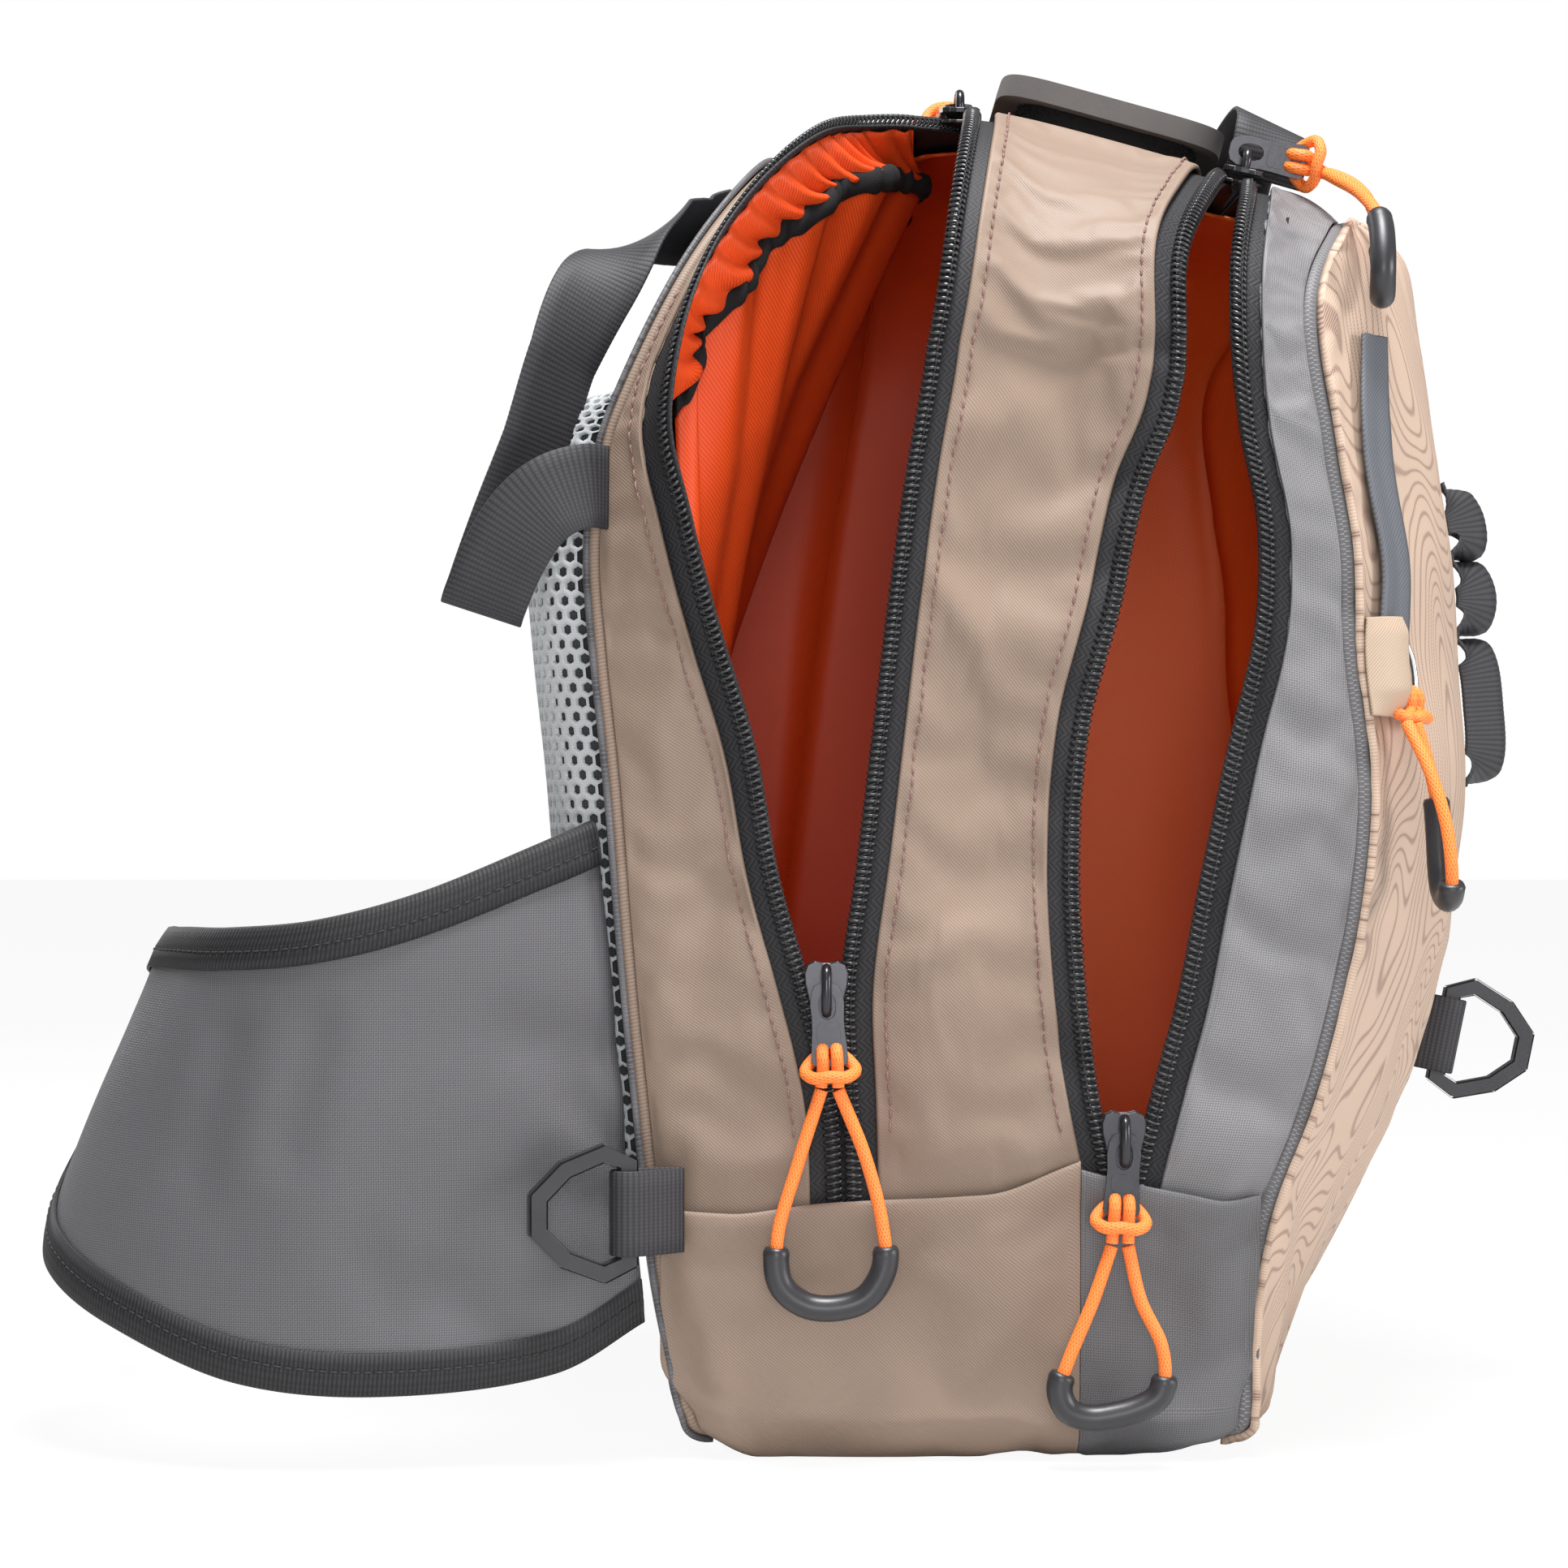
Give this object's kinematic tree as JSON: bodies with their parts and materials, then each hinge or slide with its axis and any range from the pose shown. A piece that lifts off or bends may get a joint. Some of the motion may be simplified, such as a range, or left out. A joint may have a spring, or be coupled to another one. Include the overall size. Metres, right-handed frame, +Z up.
{
  "type": "fishing backpack",
  "caption": "Upright fishing pack with lined compartments behind arched side zips, a mesh back pad, a padded hip belt, D-rings and corded zip pulls, standing on its base.",
  "frame": {"origin": "centre of the flat base on the floor", "axes": "+Z up, +X towards the printed front panel, -Y towards the side whose zips are open"},
  "size_m": [0.4831, 0.2971, 0.4335],
  "materials": {
    "taupe_cloth": "satin polyester",
    "grey_cloth": "oxford polyester",
    "wing_cloth": "fine oxford polyester",
    "printed_cloth": "polyester with a contour-line print",
    "orange_lining": "satin lining",
    "black_elastic": "gathered elastic",
    "black_zip": "woven tape with a nylon coil",
    "grey_zip": "woven tape with a covered coil",
    "spacer_mesh": "open spacer mesh",
    "black_webbing": "ribbed webbing",
    "black_plastic": "satin moulded",
    "black_metal": "dark plated",
    "orange_cord": "braided cord",
    "grey_foam": "fine-cell foam"
  },
  "bodies": {
    "pack": {"rear_gusset": "taupe_cloth", "main_gusset": "taupe_cloth", "front_gusset": "grey_cloth", "lining_rear": "orange_lining", "lining_main": "orange_lining", "lining_front": "orange_lining", "boot_rear": "taupe_cloth", "boot_front": "grey_cloth", "floor_main": "orange_lining", "floor_front": "orange_lining", "front_panel": "printed_cloth", "back_panel": "grey_cloth", "lining_back": "orange_lining", "lining_panel": "orange_lining", "divider": "orange_lining", "inner_pocket": "orange_lining", "pocket_elastic": "black_elastic", "main_zip_rear": "black_zip", "main_zip_front": "black_zip", "second_zip_rear": "black_zip", "second_zip_front": "black_zip", "back_pad": "spacer_mesh", "main_low_slider": "black_metal", "main_low_tab": "black_metal", "main_low_cord": "orange_cord", "main_low_grip": "black_plastic", "second_low_slider": "black_metal", "second_low_tab": "black_metal", "second_low_cord": "orange_cord", "second_low_grip": "black_plastic", "second_top_slider": "black_metal", "second_top_tab": "black_metal", "second_top_cord": "orange_cord", "second_top_grip": "black_plastic", "main_top_slider": "black_metal", "main_top_tab": "black_metal", "main_top_cord": "orange_cord", "main_top_grip": "black_plastic", "pocket_slider": "black_metal", "pocket_tab": "black_metal", "pocket_cord": "orange_cord", "pocket_grip": "black_plastic", "pocket_zip": "grey_zip", "pocket_garage": "printed_cloth", "wing_near": "wing_cloth", "binding_near": "black_webbing", "belt_strap_near": "black_webbing", "wing_far": "wing_cloth", "binding_far": "black_webbing", "belt_strap_far": "black_webbing", "belt_buckle": "black_plastic", "belt_ring_tab": "black_webbing", "front_ring_tab": "black_webbing", "haul_strap": "black_webbing", "daisy_chain": "black_webbing", "top_handle": "black_webbing", "fly_patch_base": "black_webbing", "fly_patch": "grey_foam"},
    "belt_ring": {"belt_ring": "black_plastic"},
    "front_ring": {"front_ring": "black_plastic"}
  },
  "joints": [
    {"name": "belt_ring_swing", "type": "hinge", "parent": "pack", "child": "belt_ring", "pos_m": [-0.105, -0.141, 0.076], "axis": [0, 0, 1], "range_deg": [0, 110]},
    {"name": "front_ring_swing", "type": "hinge", "parent": "pack", "child": "front_ring", "pos_m": [0.1625, 0, 0.118], "axis": [0.2, 0, 0.9798], "range_deg": [-70, 70]}
  ]
}
